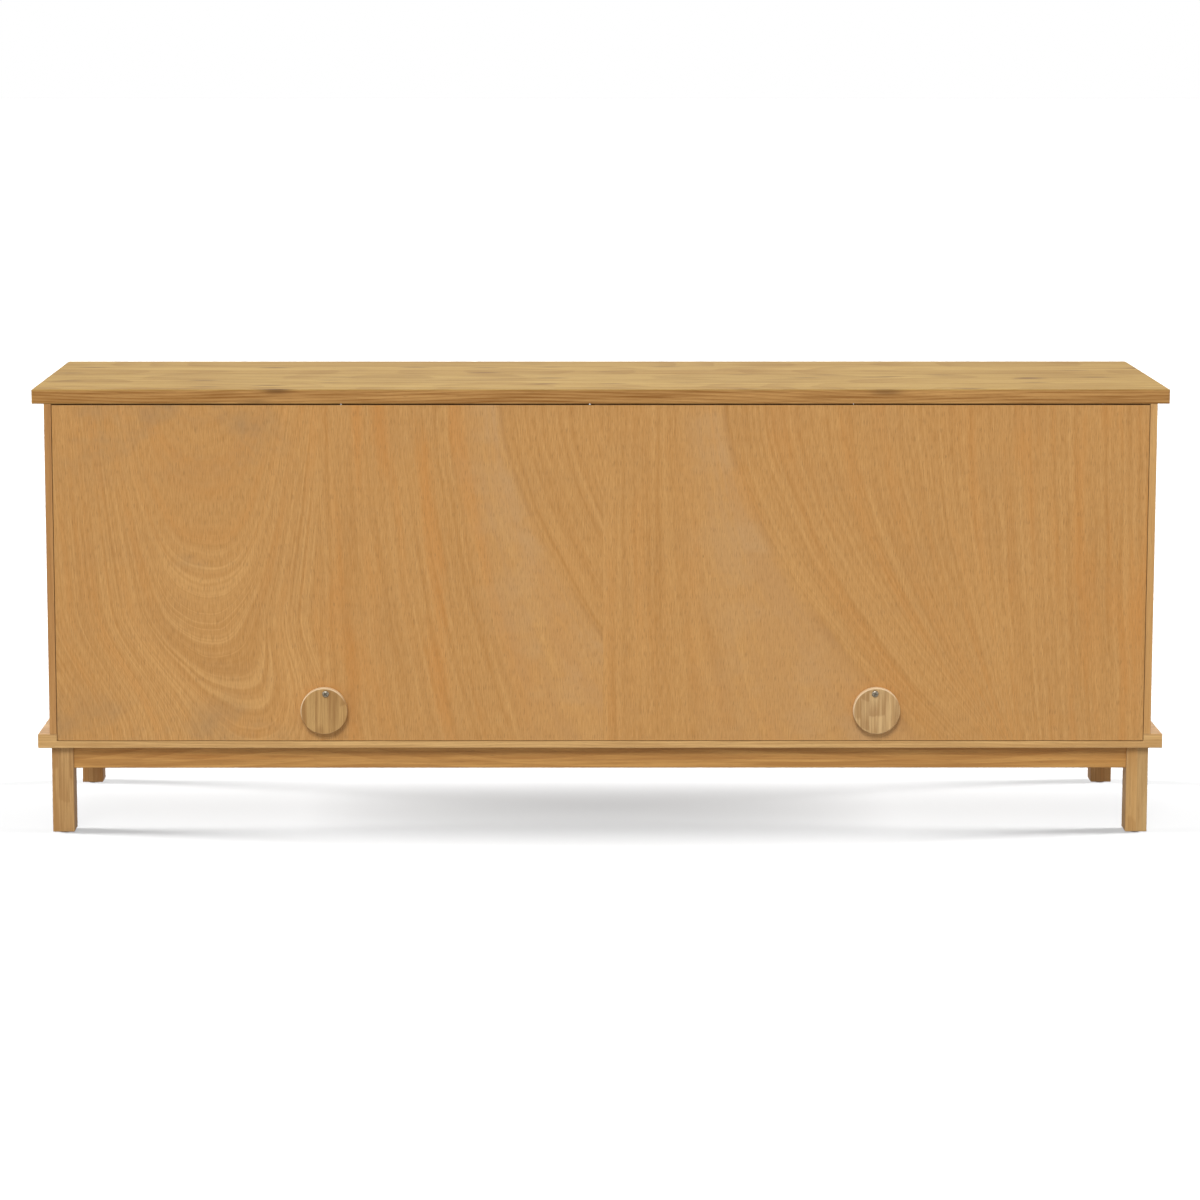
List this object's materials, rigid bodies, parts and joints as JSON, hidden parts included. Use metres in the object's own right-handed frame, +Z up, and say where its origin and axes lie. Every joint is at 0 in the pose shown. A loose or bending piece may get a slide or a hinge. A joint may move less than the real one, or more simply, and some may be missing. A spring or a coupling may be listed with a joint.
{
  "type": "media cabinet",
  "caption": "Low wooden media cabinet on legs, with hinged panel doors, adjustable shelves and swinging round covers over rear cable holes.",
  "frame": {"origin": "on the floor, at the middle of the whole object's width and depth", "axes": "+X to the right as seen from the front, +Y to the back (the cable holes), +Z up; the doors face -Y"},
  "size_m": [1.8, 0.4424, 0.72],
  "materials": {
    "top_wood": "solid edge-glued wood, clear matt lacquer, grain along the width",
    "board_wood": "solid wood, clear matt lacquer",
    "back_veneer": "plywood veneer, upright grain, clear matt lacquer",
    "shelf_veneer": "veneered board, clear matt lacquer",
    "leg_wood": "glued solid wood, upright grain, clear matt lacquer",
    "rail_wood": "solid wood, clear matt lacquer",
    "cover_wood": "turned solid wood, clear matt lacquer",
    "door_wood": "solid wood, clear matt lacquer",
    "door_veneer": "veneered board, upright grain, clear matt lacquer",
    "beech_dowel": "bare beech",
    "zinc_steel": "zinc plated",
    "brass": "satin",
    "brown_plastic": "moulded, matt",
    "glide_plastic": "moulded, matt"
  },
  "bodies": {
    "carcass": {"top_board": "top_wood", "bottom_board": "board_wood", "side_panel_left": "board_wood", "side_panel_right": "board_wood", "centre_divider": "board_wood", "back_panel": "back_veneer", "shelf_left": "shelf_veneer", "shelf_right": "shelf_veneer", "shelf_pins": "zinc_steel", "carcass_dowels": "beech_dowel", "back_brads": "zinc_steel", "pivot_screw_left": "zinc_steel", "pivot_screw_right": "zinc_steel", "leg_front_left": "leg_wood", "leg_front_right": "leg_wood", "leg_rear_left": "leg_wood", "leg_rear_right": "leg_wood", "rail_front": "rail_wood", "rail_rear": "rail_wood", "rail_left": "rail_wood", "rail_right": "rail_wood", "cross_rail": "rail_wood", "corner_blocks": "rail_wood", "frame_screws": "zinc_steel", "foot_glides": "glide_plastic", "carcass_hinge_leaves": "brass", "hinge_pins": "brass", "hinge_screws": "zinc_steel", "magnetic_catches": "brown_plastic"},
    "cable_cover_left": {"cable_cover_left": "cover_wood"},
    "cable_cover_right": {"cable_cover_right": "cover_wood"},
    "door_left_outer": {"door_left_outer_stiles": "door_wood", "door_left_outer_rails": "door_wood", "door_left_outer_panel": "door_veneer", "door_left_outer_knob": "cover_wood", "door_left_outer_hinge_leaves": "brass", "door_left_outer_strike": "zinc_steel", "door_left_outer_screws": "zinc_steel"},
    "door_left_inner": {"door_left_inner_stiles": "door_wood", "door_left_inner_rails": "door_wood", "door_left_inner_panel": "door_veneer", "door_left_inner_knob": "cover_wood", "door_left_inner_hinge_leaves": "brass", "door_left_inner_strike": "zinc_steel", "door_left_inner_screws": "zinc_steel"},
    "door_right_inner": {"door_right_inner_stiles": "door_wood", "door_right_inner_rails": "door_wood", "door_right_inner_panel": "door_veneer", "door_right_inner_knob": "cover_wood", "door_right_inner_hinge_leaves": "brass", "door_right_inner_strike": "zinc_steel", "door_right_inner_screws": "zinc_steel"},
    "door_right_outer": {"door_right_outer_stiles": "door_wood", "door_right_outer_rails": "door_wood", "door_right_outer_panel": "door_veneer", "door_right_outer_knob": "cover_wood", "door_right_outer_hinge_leaves": "brass", "door_right_outer_strike": "zinc_steel", "door_right_outer_screws": "zinc_steel"}
  },
  "joints": [
    {"name": "cover_left_swing", "type": "hinge", "parent": "carcass", "child": "cable_cover_left", "pos_m": [-0.438, 0.21155, 0.233], "axis": [0, 1, 0], "continuous": true},
    {"name": "cover_right_swing", "type": "hinge", "parent": "carcass", "child": "cable_cover_right", "pos_m": [0.438, 0.21155, 0.233], "axis": [0, 1, 0], "continuous": true},
    {"name": "door_left_outer_hinge", "type": "hinge", "parent": "carcass", "child": "door_left_outer", "pos_m": [-0.8569, -0.19855, 0.431], "axis": [0, 0, -1], "range_deg": [0, 110]},
    {"name": "door_left_inner_hinge", "type": "hinge", "parent": "carcass", "child": "door_left_inner", "pos_m": [-0.0126, -0.19855, 0.431], "axis": [0, 0, 1], "range_deg": [0, 85]},
    {"name": "door_right_inner_hinge", "type": "hinge", "parent": "carcass", "child": "door_right_inner", "pos_m": [0.0126, -0.19855, 0.431], "axis": [0, 0, -1], "range_deg": [0, 85]},
    {"name": "door_right_outer_hinge", "type": "hinge", "parent": "carcass", "child": "door_right_outer", "pos_m": [0.8569, -0.19855, 0.431], "axis": [0, 0, 1], "range_deg": [0, 110]}
  ]
}
